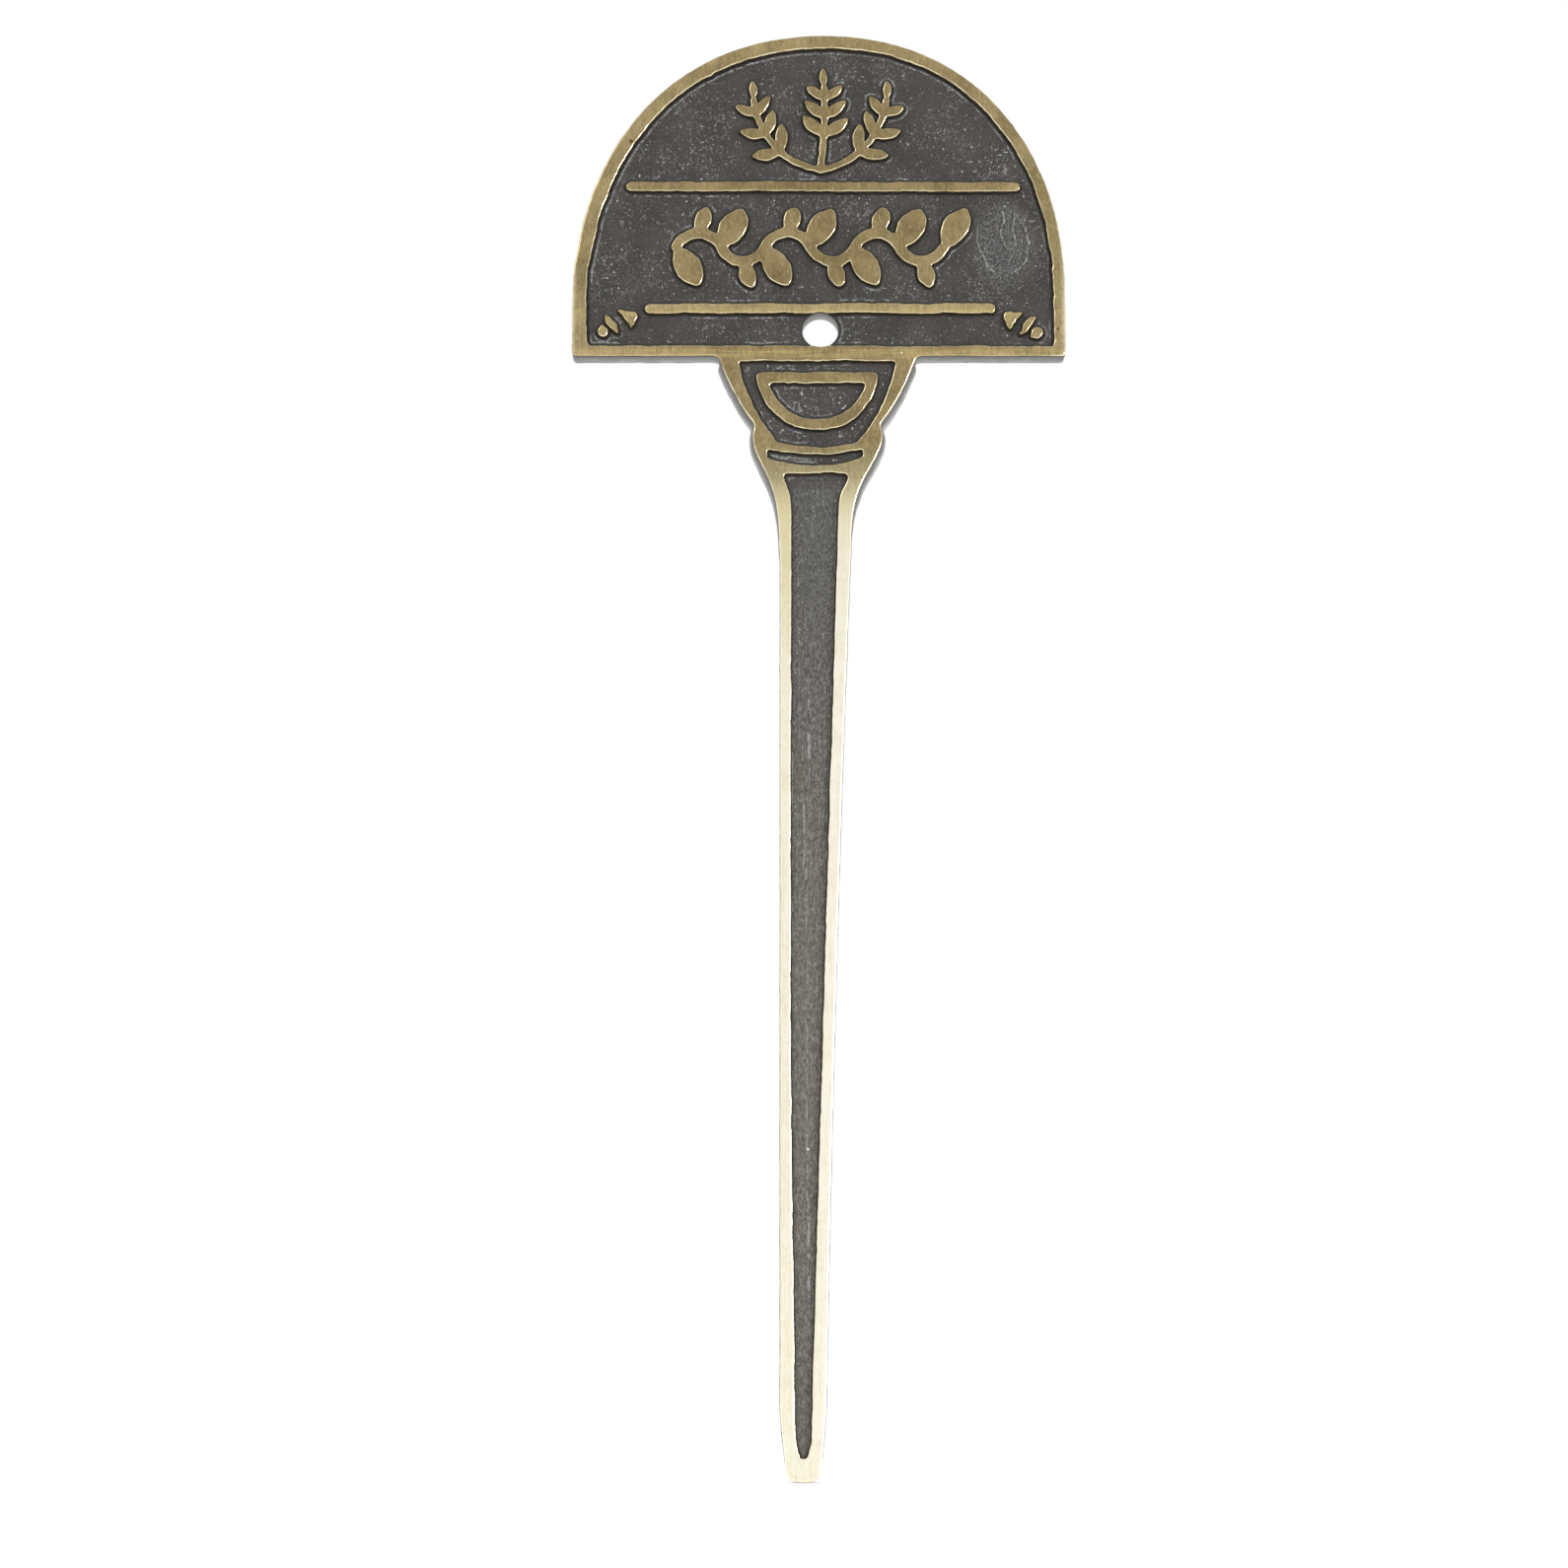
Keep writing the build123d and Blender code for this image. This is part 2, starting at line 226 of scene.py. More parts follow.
def outlines(node, depth):
    """The closed outlines of a node's forward faces at a depth, with the faces to their left."""
    mesh = frame["nodes"][node].data
    keys = [(round(v.co.x / MM, 3), round(v.co.z / MM, 3)) for v in mesh.vertices]
    level = (FRONT + depth) * MM
    following = {}
    for polygon in mesh.polygons:
        if polygon.normal.y > FORWARD or abs(polygon.center.y - level) > LEVEL_SLACK:
            continue
        ring = [keys[i] for i in polygon.vertices]
        for a, b in zip(ring, ring[1:] + ring[:1]):
            if a in following.get(b, ()):
                following[b].remove(a)
            else:
                following.setdefault(a, []).append(b)
    loops = []
    for start in sorted(following):
        while following[start]:
            loop = [start]
            point = following[start].pop()
            while point != start:
                loop.append(point)
                point = following[point].pop()
            loops.append(np.array(loop))
    return loops


def area(loop):
    after = np.roll(loop, -1, 0)
    return 0.5 * np.sum(loop[:, 0] * after[:, 1] - after[:, 0] * loop[:, 1])


def resampled(loop, spacing):
    """The outline at an even spacing: straight runs stay straight, arcs get round again and corners stay."""
    after = np.roll(loop, -1, 0) - loop
    length = np.linalg.norm(after, axis=1)
    ahead = after / length[:, None]
    behind, length_behind = np.roll(ahead, 1, 0), np.roll(length, 1)
    turn = np.arccos(np.clip(np.sum(ahead * behind, axis=1), -1, 1))
    tangent = behind * length[:, None] + ahead * length_behind[:, None]
    tangent[length > LINE_RATIO * length_behind] = ahead[length > LINE_RATIO * length_behind]
    tangent[length_behind > LINE_RATIO * length] = behind[length_behind > LINE_RATIO * length]
    tangent /= np.linalg.norm(tangent, axis=1)[:, None] + TINY
    corner = turn > CORNER_ANGLE
    leaving = np.where(corner[:, None], ahead, tangent)
    arriving = np.roll(np.where(corner[:, None], behind, tangent), -1, 0)
    points = []
    for i in range(len(loop)):
        steps = max(1, round(length[i] / spacing))
        u = np.arange(steps)[:, None] / steps
        end = loop[(i + 1) % len(loop)]
        points.append(
            (2 * u**3 - 3 * u**2 + 1) * loop[i]
            + (3 * u**2 - 2 * u**3) * end
            + length[i] * ((u**3 - 2 * u**2 + u) * leaving[i] + (u**3 - u**2) * arriving[i])
        )
    return np.vstack(points)


def from_hole(flat):
    """The distance of flat points to the middle of the hanging hole."""
    return np.linalg.norm(flat - HOLE, axis=1)


def on_hole(flat):
    return np.abs(from_hole(flat) - HOLE_RADIUS) < HOLE_SLACK


def inward(loop):
    """Unit vectors at an outline's points towards the faces on its left."""
    along = np.roll(loop, -1, 0) - np.roll(loop, 1, 0)
    along /= np.linalg.norm(along, axis=1)[:, None] + TINY
    return np.column_stack((-along[:, 1], along[:, 0]))


def softened(loop, times):
    """The outline with its corners a little rounded, as sand and hand work leave them."""
    fixed = on_hole(loop)[:, None]
    for _ in range(times):
        smooth = (np.roll(loop, 1, 0) + 2 * loop + np.roll(loop, -1, 0)) / 4
        loop = np.where(fixed, loop, smooth)
    return loop


def wandered(flat, amount):
    """Flat points moved by smooth fields, as a hand-cut pattern's edges wander. Tip and hole hold still."""
    x, z = np.abs(flat[:, 0]), flat[:, 1]
    way = [
        sum(share * (2 * smooth_field(flat, cell, shift + turn) - 1) for cell, share, shift in WANDER_FIELDS)
        for turn in WANDER_WAYS
    ]
    corner = smooth_step(x, *CORNER_X) * (1 - smooth_step(x, *PAST_CORNER_X))
    corner *= smooth_step(z, *CORNER_Z) * (1 - smooth_step(z, *PAST_CORNER_Z))
    free = smooth_step(z, *TIP_WANDER) * smooth_step(from_hole(flat), *HOLE_WANDER)
    amount = amount * (1 - BLADE_CALM * smooth_step(z, *CALM_OUTLINE)) + CORNER_WANDER * corner
    return flat + (free * amount)[:, None] * np.column_stack(way)


def redrawn(loop, outer=False):
    """An outline as the hand-cut pattern gives it."""
    loop = softened(resampled(loop, SPACING), SMALL_SOFTENING if abs(area(loop)) < SMALL_LOOP else SOFTENING)
    if not outer:
        return wandered(loop, WANDER)
    return np.clip(wandered(loop + OUTER_INSET * inward(loop), OUTER_WANDER), BOX_LOW, BOX_HIGH)


def tree_of(loops):
    points = np.vstack(loops)
    tree = KDTree(len(points))
    for i, (x, z) in enumerate(points):
        tree.insert((x, z, 0), i)
    tree.balance()
    return tree


def gap_to(points, loops):
    """The distance of flat points to the nearest outline."""
    tree = tree_of(loops)
    near = np.array([tree.find((x, z, 0))[1] for x, z in points])
    middle = np.vstack(loops)[near]
    gap = np.full(len(points), np.inf)
    for turn in (-1, 1):
        along = np.vstack([np.roll(loop, turn, 0) for loop in loops])[near] - middle
        share = np.sum((points - middle) * along, axis=1) / (np.sum(along**2, axis=1) + TINY_SQUARE)
        foot = middle + along * np.clip(share, 0, 1)[:, None]
        gap = np.minimum(gap, np.linalg.norm(points - foot, axis=1))
    return gap


def room(loop, reach, tree):
    """The share of a reach to its left that each point of an outline has before it meets another edge."""
    share = np.ones(len(loop))
    for i, (point, way) in enumerate(zip(loop, inward(loop))):
        for trial in ROOM_TRIALS:
            x, z = point + way * reach * trial
            if tree.find((x, z, 0))[2] >= ROOM_SLACK * abs(reach) * trial:
                break
        share[i] = trial
    for _ in range(ROOM_SOFTENING):
        lowest = np.minimum(share, np.minimum(np.roll(share, 1), np.roll(share, -1)))
        share = (np.roll(lowest, 1) + lowest + np.roll(lowest, -1)) / 3
    return share


def within(points, loops):
    """Which flat points lie in the area that the outlines close in, holes left out."""
    a = np.vstack(loops)
    b = np.vstack([np.roll(loop, -1, 0) for loop in loops])
    slope = (b[:, 0] - a[:, 0]) / np.where(a[:, 1] == b[:, 1], 1, b[:, 1] - a[:, 1])
    low, high = np.minimum(a[:, 1], b[:, 1]), np.maximum(a[:, 1], b[:, 1])
    inside = np.zeros(len(points), bool)
    for chunk in np.array_split(np.argsort(points[:, 1]), len(points) // CHUNK + 1):
        x, z = points[chunk].T[:, :, None]
        near = (low <= z.max()) & (high >= z.min())
        crossed = (low[near] <= z) & (high[near] > z) & (x < a[near, 0] + (z - a[near, 1]) * slope[near])
        inside[chunk] = crossed.sum(axis=1) % 2 == 1
    return inside


def loose_points(loops, spacing, seed):
    """Shaken points at a spacing inside an area with holes, clear of its edges."""
    edge = np.vstack(loops)
    low, high = edge.min(0), edge.max(0)
    columns, rows = (int(extent / spacing) + 1 for extent in high - low)
    x, z = np.meshgrid(np.arange(columns), np.arange(rows))
    grid = low + spacing * np.column_stack((x.ravel() + z.ravel() % 2 / 2, z.ravel()))
    grid = grid[within(grid, loops)]
    grid = grid[gap_to(grid, loops) > EDGE_CLEARANCE * spacing]
    return grid + (np.random.default_rng(seed).random(grid.shape) - 0.5) * spacing * SHAKE


class Piece:
    """A mesh in the making: flat points with depths, and faces with a material slot."""

    def __init__(self):
        self.points, self.faces, self.slots = [], [], []

    def ring(self, flat, depth):
        start = len(self.points)
        depths = np.broadcast_to(depth, len(flat))
        self.points += [(x * MM, (FRONT + d) * MM, z * MM) for (x, z), d in zip(flat, depths)]
        return np.arange(start, start + len(flat))

    def flat(self, ring):
        return np.array([(self.points[i][0] / MM, self.points[i][2] / MM) for i in ring])

    def strip(self, front, back, slot):
        """A band between two rings that look outwards to the right of their direction."""
        front_next, back_next = np.roll(front, -1), np.roll(back, -1)
        self.faces += np.column_stack((front, back, back_next, front_next)).tolist()
        self.slots += [slot] * len(front)

    def fill(self, rings, loose, depth, slot, backwards=False):
        """Triangles between closed rings, with loose flat points among them at depth(flat)."""
        flat, edges, indices = [], [], []
        for ring in rings:
            first = len(flat)
            flat += list(self.flat(ring))
            edges += [(first + i, first + (i + 1) % len(ring)) for i in range(len(ring))]
            indices += list(ring)
        flat += list(loose)
        made = delaunay_2d_cdt([Vector(p) for p in flat], edges, [], 0, MERGED)
        spots, triangles, origins = np.array(made[0]), np.array(made[2]), made[3]
        place, new = {}, []
        for k, origin in enumerate(origins):
            if origin and min(origin) < len(indices):
                place[k] = int(indices[min(origin)])
            else:
                new.append(k)
        if new:
            place.update(zip(new, self.ring(spots[new], depth(spots[new])).tolist()))
        triangles = triangles[within(spots[triangles].mean(axis=1), [self.flat(ring) for ring in rings])]
        a, b, c = spots[triangles].transpose(1, 0, 2)
        turned = np.cross(b - a, c - a) < 0
        for triangle, turn in zip(triangles, turned):
            face = [place[k] for k in triangle]
            if len(set(face)) == len(face):
                self.faces.append(face[::-1] if turn != backwards else face)
                self.slots.append(slot)

    def made(self, name, materials, loops):
        """The finished object; its points know how far they lie from the nearest of the loops."""
        mesh = bpy.data.meshes.new(name)
        mesh.from_pydata(self.points, [], self.faces)
        for material in materials:
            mesh.materials.append(material)
        mesh.polygons.foreach_set("material_index", self.slots)
        flat = self.flat(range(len(self.points)))
        marks = (gap_to(flat, loops), gap_to(flat, loops[:1]), *flow_marks(flat))
        for mark, values in zip(MARKS, marks):
            mesh.attributes.new(mark, "FLOAT", "POINT").data.foreach_set("value", values)
        mesh.shade_smooth()
        piece = bpy.data.objects.new(name, mesh)
        bpy.context.scene.collection.objects.link(piece)
        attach(piece, "root")
        return piece


def side_swell(flat, depth):
    """Extra width of the side walls at a depth: a draft, most round the bowl and collar, less uneven sand."""
    x, z = np.abs(flat[:, 0]), flat[:, 1]
    zone = PLAIN_DRAFT_SHARE + (1 - PLAIN_DRAFT_SHARE) * smooth_step(z, *COLLAR_DRAFT)
    zone = zone * (1 - smooth_step(z, *PAST_NECK)) * (1 - smooth_step(x, *PAST_BOWL_SIDE))
    zone *= smooth_step(z, *TIP_DRAFT)
    height, cell, shift = SIDE_SAND
    return DRAFT * zone * smooth_step(depth, *DRAFT_DEPTHS) - height * smooth_field(flat, cell, shift + depth)


def uneven_front(flat):
    height, cell, shift = FRONT_SAND
    return height * smooth_field(flat, cell, shift)


def uneven_back(flat):
    return THICKNESS - sum(height * smooth_field(flat, cell, shift) for height, cell, shift in BACK_SANDS)


def paint_foot(flat):
    return np.full(len(flat), PAINT_FOOT)


def build_casting(materials):
    """The casting: each outline's rounded edge, the side or recess wall behind it, and the faces between."""
    casting = Piece()
    cad_loops = sorted(outlines("brass_casting", 0), key=lambda loop: -abs(area(loop)))
    loops = [redrawn(loop, loop is cad_loops[0]) for loop in cad_loops]
    tree = tree_of(loops)
    tops = []
    for number, loop in enumerate(loops):
        way = inward(loop)
        reach = EDGE_REACH if number else OUTER_REACH
        reach = (reach * room(loop, reach, tree))[:, None]
        rings = [casting.ring(loop + way * reach * share, depth) for share, depth in EDGE_PROFILE]
        tops.append(rings[0])
        for front, back in zip(rings, rings[1:]):
            casting.strip(front, back, LINISHED)
        last = rings[-1]
        if number == 0:
            for inset, depth in [(0, depth) for depth in SIDE_DEPTHS] + list(BACK_PROFILE):
                side = loop + way * (inset - side_swell(loop, depth))[:, None]
                side = casting.ring(np.clip(side, BOX_LOW, BOX_HIGH), depth)
                casting.strip(last, side, CAST)
                last = side
            back_ring = last
            continue
        hold = WALL_REACH * np.where(on_hole(loop), 0, room(loop, -WALL_REACH, tree))
        hold = (hold * (1 - BLADE_CALM * smooth_step(loop[:, 1], *CALM_WALL)))[:, None]
        for share, depth in WALL_PROFILE:
            wall = casting.ring(loop - way * hold * share, depth)
            casting.strip(last, wall, RECESS)
            last = wall
    loose = loose_points([casting.flat(ring) for ring in tops], FRONT_SPACING, FRONT_SEED)
    casting.fill(tops, loose, uneven_front, LINISHED)
    steps = round(2 * math.pi * HOLE_RADIUS / SPACING)
    angles = -np.arange(steps) * 2 * math.pi / steps
    circle = HOLE + HOLE_RADIUS * np.column_stack((np.cos(angles), np.sin(angles)))
    last = casting.ring(circle, PAINT_TOP)
    for inset, depth in [(0, depth) for depth in HOLE_DEPTHS] + list(BACK_PROFILE):
        ring = casting.ring(circle + inward(circle) * inset, depth)
        casting.strip(last, ring, CAST)
        last = ring
    loose = loose_points([casting.flat(back_ring), casting.flat(last)], BACK_SPACING, BACK_SEED)
    casting.fill([back_ring, last], loose, uneven_back, CAST, backwards=True)
    for name in PAINTS:
        rings = [casting.ring(redrawn(loop), PAINT_FOOT) for loop in outlines(name, PAINT_TOP)]
        casting.fill(rings, np.zeros((0, 2)), paint_foot, RECESS)
    piece = casting.made("dressed_casting", materials, loops)
    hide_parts("brass_casting")


def flow_marks(flat):
    """How far flat points lie beside the sand's flow lines, and how coarse the ground is there, up to 1."""
    bend = [smooth_field(flat, FLOW_BEND_CELL, shift) - 0.5 for shift in FLOW_BEND_SHIFTS]
    patch = 1 - smooth_step(np.linalg.norm((flat - PATCH_MIDDLE) / PATCH_HALF, axis=1), *PATCH_FADE)
    return beside_lines(flat + FLOW_BEND * np.column_stack(bend), FLOW_LINES), patch


def pitted(flat, loops):
    """Depth of the paint over the sand's ground: grains, lumps, and a ridge along edges with a lower band
    between it and the edge.
    """
    z = flat[:, 1]
    gap = gap_to(flat, loops)
    field = {name: smooth_field(flat, cell, shift) for name, (cell, shift) in GROUND_FIELDS.items()}
    bump = {name: smooth_step(field[name], *fade) for name, fade in GROUND_BUMPS.items()}
    clear = {name: smooth_step(gap, *fade) for name, fade in GROUND_GAPS.items()}
    crowd = LEAST_CROWD + (1 - LEAST_CROWD) * bump["crowd"]
    crowd = crowd * (1 - CHANNEL_CALM * smooth_step(z, *IN_CHANNEL))
    grain = crowd * clear["open"] * (GRAIN * bump["grain"] + FINE * (field["fine"] - 0.5))
    small_ground = smooth_step(z, *BELOW_BAR) * smooth_step(z, *ABOVE_CHANNEL)
    lump = bump["lump"] * small_ground * clear["lump"]
    ridge = clear["ridge"] * (1 - clear["past_ridge"]) * smooth_step(from_hole(flat), *HOLE_RIDGE)
    ridge *= bump["ridge"] * bump["ridge_run"]
    beside, patch = flow_marks(flat)
    line = 1 - smooth_step(np.abs(beside), *FLOW_FADE)
    coarse = patch * clear["open"] * (COARSE * (field["coarse"] - 0.5) + FLOW * line)
    rise = SWELL * (field["swell"] - 0.5) + grain + RIDGE * ridge + LUMP * lump + coarse
    return np.clip(PAINT_TOP - rise, PAINT_TOP - HIGHEST_GRAIN, PAINT_FOOT - THINNEST_PAINT)


def build_paint(name, spacing, material):
    """One pool of paint, from its pitted face back to its foot."""
    paint = Piece()
    loops = [redrawn(loop) for loop in outlines(name, PAINT_TOP)]
    tops = [paint.ring(loop, pitted(loop, loops)) for loop in loops]
    feet = [paint.ring(loop, PAINT_FOOT) for loop in loops]
    for top, foot in zip(tops, feet):
        paint.strip(top, foot, 0)
    paint.fill(tops, loose_points(loops, spacing, PAINT_SEED), lambda flat: pitted(flat, loops), 0)
    paint.fill(feet, np.zeros((0, 2)), paint_foot, 0, backwards=True)
    piece = paint.made("pitted_" + name, [material], loops)
    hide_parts(name)


# Materials


def srgb(red, green, blue):
    """A colour given as it shows on a screen, from 0 to 255, in linear light."""
    shown = (value / 255 for value in (red, green, blue))
    return tuple(v / 12.92 if v <= 0.04045 else ((v + 0.055) / 1.055) ** 2.4 for v in shown) + (1.0,)


# Colours by what they show. Where there are two, the look goes from the first to the second
BRASS = {
    "toned_and_sheen": (srgb(135, 119, 84), srgb(181, 163, 120)),
    "golden_edge_sheen": srgb(196, 174, 120),
    "sky": srgb(204, 188, 148),
    "rim_side": srgb(240, 231, 203),
    "collar": srgb(166, 154, 118),
    "shoulder": srgb(219, 208, 166),
    "blade": srgb(241, 236, 216),
    "blade_right": srgb(247, 243, 231),
    "dulled": (srgb(92, 76, 44), srgb(206, 192, 148)),
    "lighter": (srgb(208, 190, 142), srgb(250, 246, 230)),
    "brushed": (srgb(214, 196, 146), srgb(253, 250, 238)),
    "edge_highlight": (srgb(243, 234, 200), srgb(253, 249, 234)),
    "dent": srgb(74, 58, 34),
    "nick": srgb(240, 232, 205),
}
WALL = {"bare": srgb(126, 104, 58), "stained": (srgb(34, 30, 27), srgb(66, 48, 20))}
SIDE = {
    "by_face": (srgb(58, 52, 44), srgb(116, 115, 112)),
    "by_back": srgb(166, 166, 165),
    "neck": srgb(206, 206, 205),
    "patch": srgb(104, 100, 90),
    "sand": srgb(84, 80, 72),
}
BACK = {
    "clouded": (srgb(120, 107, 78), srgb(152, 138, 104)),
    "rubbed": srgb(184, 171, 136),
    "sand": srgb(88, 75, 49),
}
PAINT = {
    "base": (srgb(45, 42, 38), srgb(58, 54, 50)),
    "fine": srgb(98, 95, 91),
    "lump": srgb(132, 131, 129),
    "speck": srgb(208, 209, 209),
    "dot": srgb(204, 205, 205),
    "high": srgb(196, 196, 193),
    "ridge": srgb(166, 167, 167),
    "shade_by_wall": srgb(40, 37, 34),
    "worn": srgb(138, 137, 136),
    "flow": srgb(190, 190, 188),
}
CHANNEL = {
    "base": (srgb(76, 75, 73), srgb(108, 103, 93)),
    "broad": (srgb(158, 156, 150), srgb(58, 55, 51)),
    "strokes": (srgb(152, 150, 145), srgb(52, 49, 45)),
    "fleck": srgb(176, 175, 171),
    "scratch": srgb(196, 196, 190),
    "long_line": srgb(186, 184, 178),
    "chip": srgb(240, 240, 236),
    "wall_foot": srgb(70, 54, 32),
}

# Marks on the face in mm: x, z and radius
DENTS = ((-29.4, 204.5, 0.5), (36.6, 174.0, 0.3), (12.0, 170.5, 0.24), (12.9, 169.9, 0.2), (7.4, 171.0, 0.16))
NICK = (12.5, 170.1, 0.18)
CHIP = (-2.07, 48.0, 0.26)

# Where looks set in and where they are whole, in mm
FADE = {
    # up the stake
    "head": (164, 172),
    "field_foot": (176, 178),
    "above_rule": (177, 184),
    "above_foot": (178, 184),
    "crown": (212, 221),
    # down the stake
    "lower_rim": (190, 176),
    "neck": (169, 167),
    "collar": (157, 151),
    "pale": (153, 144),
    "shoulder": (153, 143),
    "blade_wall": (152, 148),
    "blade_paint": (151, 147),
    "right_half_below": (150, 138),
    "strokes_below": (150, 112),
    "broad_below": (146, 104),
    "blade": (145, 112),
    "channel": (150, 60),
    # sideways, for both sides or for one
    "sides": (8, 34),
    "rule_ends": (33, 32),
    "bar_end": (36.5, 34),
    "left_of_rim": (36.8, 35.5),
    "right_rim": (36.8, 37.9),
    "left_rim": (-37.3, -38.3),
    "right_half": (-3, 3),
    "leftwards": (15, -10),
    # towards the upper left
    "sky": (29, 38),
    # back from the face
    "smooth_edge": (0.01, 0.04),
    "round_edge": (0.02, 0.06),
    "stain": (0.28, 0.42),
    "side_shadow": (0.4, 0.95),
    "side_back": (0.9, 3.4),
    "neck_side": (1.5, 3.2),
    "back": (3.8, 3.92),
    "high": (PAINT_TOP - 0.07, PAINT_TOP - 0.17),
    # away from the nearest edge, or towards it
    "open_ground": (0.3, 0.6),
    "ridge": (0.42, 0.54),
    "past_ridge": (0.8, 0.68),
    "shade_by_wall": (0.42, 0.15),
    "wall_foot": (0.2, 0.08),
    # the same for the outer edge
    "rim_ridge": (0.42, 0.52),
    "past_rim_ridge": (0.86, 0.7),
    "outer_edge": (0.7, 0.5),
    # beside a line
    "long_line": (0.16, 0.05),
    "flow_line": (0.14, 0.05),
    "streak": (0.26, 0.34),
}

# Bands up the stake in mm: start, end and fade
BAND = {
    "under_bar": (169.4, 170.0, 0.2),
    "bar_edge": (169.5, 170.4, 0.4),
    "rule_edge": (176.4, 177.0, 0.35),
    "lower_rule": (176.2, 178.5, 0.3),
    "upper_rule": (196.0, 198.3, 0.3),
    "long_line": (26, 92, 6),
}

# The direction towards the upper left and the height that it starts from, the long line's place and bend, how
# far apart flow streaks lie, and a spot's full middle as a share of its radius
SKY_WAY, SKY_HEIGHT = (-0.8, 0.6), 185.0
LINE_X, LINE_BEND = -2.15, 0.9
STREAK_SPACING = 0.36
SPOT_MIDDLE = 0.4

# Fine relief: its height in mm and its strength
RELIEF = {"brushing": (0.014, 0.7), "sand": (0.08, 0.7), "paint": (0.15, 1.0)}

# How noise is drawn out: not at all, or upwards or sideways
EVEN, UPRIGHT, SIDEWAYS = (1, 1, 1), (1, 1, 0.03), (0.03, 1, 1)


class Shader:
    """A material whose nodes are added by short calls. Its places are in mm in the object's frame."""

    def __init__(self, name):
        self.material = bpy.data.materials.new(name)
        self.material.use_nodes = True
        self.tree = self.material.node_tree
        self.tree.nodes.clear()
        place = self.add("ShaderNodeTexCoord").outputs["Object"]
        in_mm = self.add("ShaderNodeVectorMath", {0: place, "Scale": 1 / MM}, operation="SCALE")
        self.place = in_mm.outputs[0]
        self.x, self.y, self.z = self.add("ShaderNodeSeparateXYZ", {0: self.place}).outputs
        self.depth = self.math("SUBTRACT", self.y, FRONT)
        marks = (self.add("ShaderNodeAttribute", attribute_name=mark).outputs["Fac"] for mark in MARKS)
        self.gap, self.outer_gap, self.beside_flow, self.flow_patch = marks

    def add(self, kind, inputs=None, **settings):
        node = self.tree.nodes.new(kind)
        for name, value in settings.items():
            setattr(node, name, value)
        for key, value in (inputs or {}).items():
            self.give(node.inputs[key], value)
        return node

    def give(self, socket, value):
        if isinstance(value, bpy.types.NodeSocket):
            self.tree.links.new(value, socket)
        else:
            socket.default_value = value

    def math(self, operation, a, b=0.0, c=0.0):
        return self.add("ShaderNodeMath", {0: a, 1: b, 2: c}, operation=operation).outputs[0]

    def product(self, first, *others):
        for other in others:
            first = self.math("MULTIPLY", first, other)
        return first

    def total(self, first, *others):
        for other in others:
            first = self.math("ADD", first, other)
        return first

    def rest(self, share):
        """What a share leaves of 1."""
        return self.math("SUBTRACT", 1.0, share)

    def step(self, value, start, end, low=0.0, high=1.0):
        inputs = {"Value": value, "From Min": start, "From Max": end, "To Min": low, "To Max": high}
        return self.add("ShaderNodeMapRange", inputs, interpolation_type="SMOOTHSTEP").outputs[0]

    def turned(self, share, low, high):
        """The low value where a share is 0 and the high one where it is 1."""
        return self.step(share, 0, 1, low, high)

    def band(self, value, start, end, fade):
        """1 between start and end, 0 outside them."""
        return self.product(self.step(value, start - fade, start), self.step(value, end + fade, end))

    def noise(self, stretch, scale, detail=2.0, roughness=0.5, shift=0.0):
        """Noise from 0 to 1; a stretch of (1, 1, 0.1) draws it out upwards tenfold."""
        place = {0: self.place, "Location": (shift, shift, shift), "Scale": stretch}
        moved = self.add("ShaderNodeMapping", place).outputs[0]
        inputs = {"Vector": moved, "Scale": scale, "Detail": detail, "Roughness": roughness}
        return self.add("ShaderNodeTexNoise", inputs).outputs["Fac"]

    def clumps(self, noise, start, end, low=0.0, high=1.0):
        """Patches cut from a noise, which is given as the values that it takes."""
        return self.step(self.noise(*noise), start, end, low, high)

    def spot(self, x, z, radius):
        """1 near a place on the face, 0 from the radius on."""
        here = self.add("ShaderNodeCombineXYZ", {0: self.x, 2: self.z}).outputs[0]
        away = self.add("ShaderNodeVectorMath", {0: here, 1: (x, 0, z)}, operation="DISTANCE")
        return self.step(away.outputs["Value"], radius, radius * SPOT_MIDDLE)

    def mix(self, share, first, second):
        node = self.add("ShaderNodeMix", data_type="RGBA")
        sockets = [s for s in node.inputs if s.enabled]
        for socket, value in zip(sockets, (share, first, second)):
            self.give(socket, value)
        return next(s for s in node.outputs if s.enabled)

    def bump(self, height, distance, strength):
        inputs = {"Height": height, "Distance": distance * MM, "Strength": strength}
        return self.add("ShaderNodeBump", inputs).outputs[0]

    def finish(self, **inputs):
        shader = self.add("ShaderNodeBsdfPrincipled", {k.replace("_", " "): v for k, v in inputs.items()})
        self.add("ShaderNodeOutputMaterial", {"Surface": shader.outputs[0]})
        return self.material


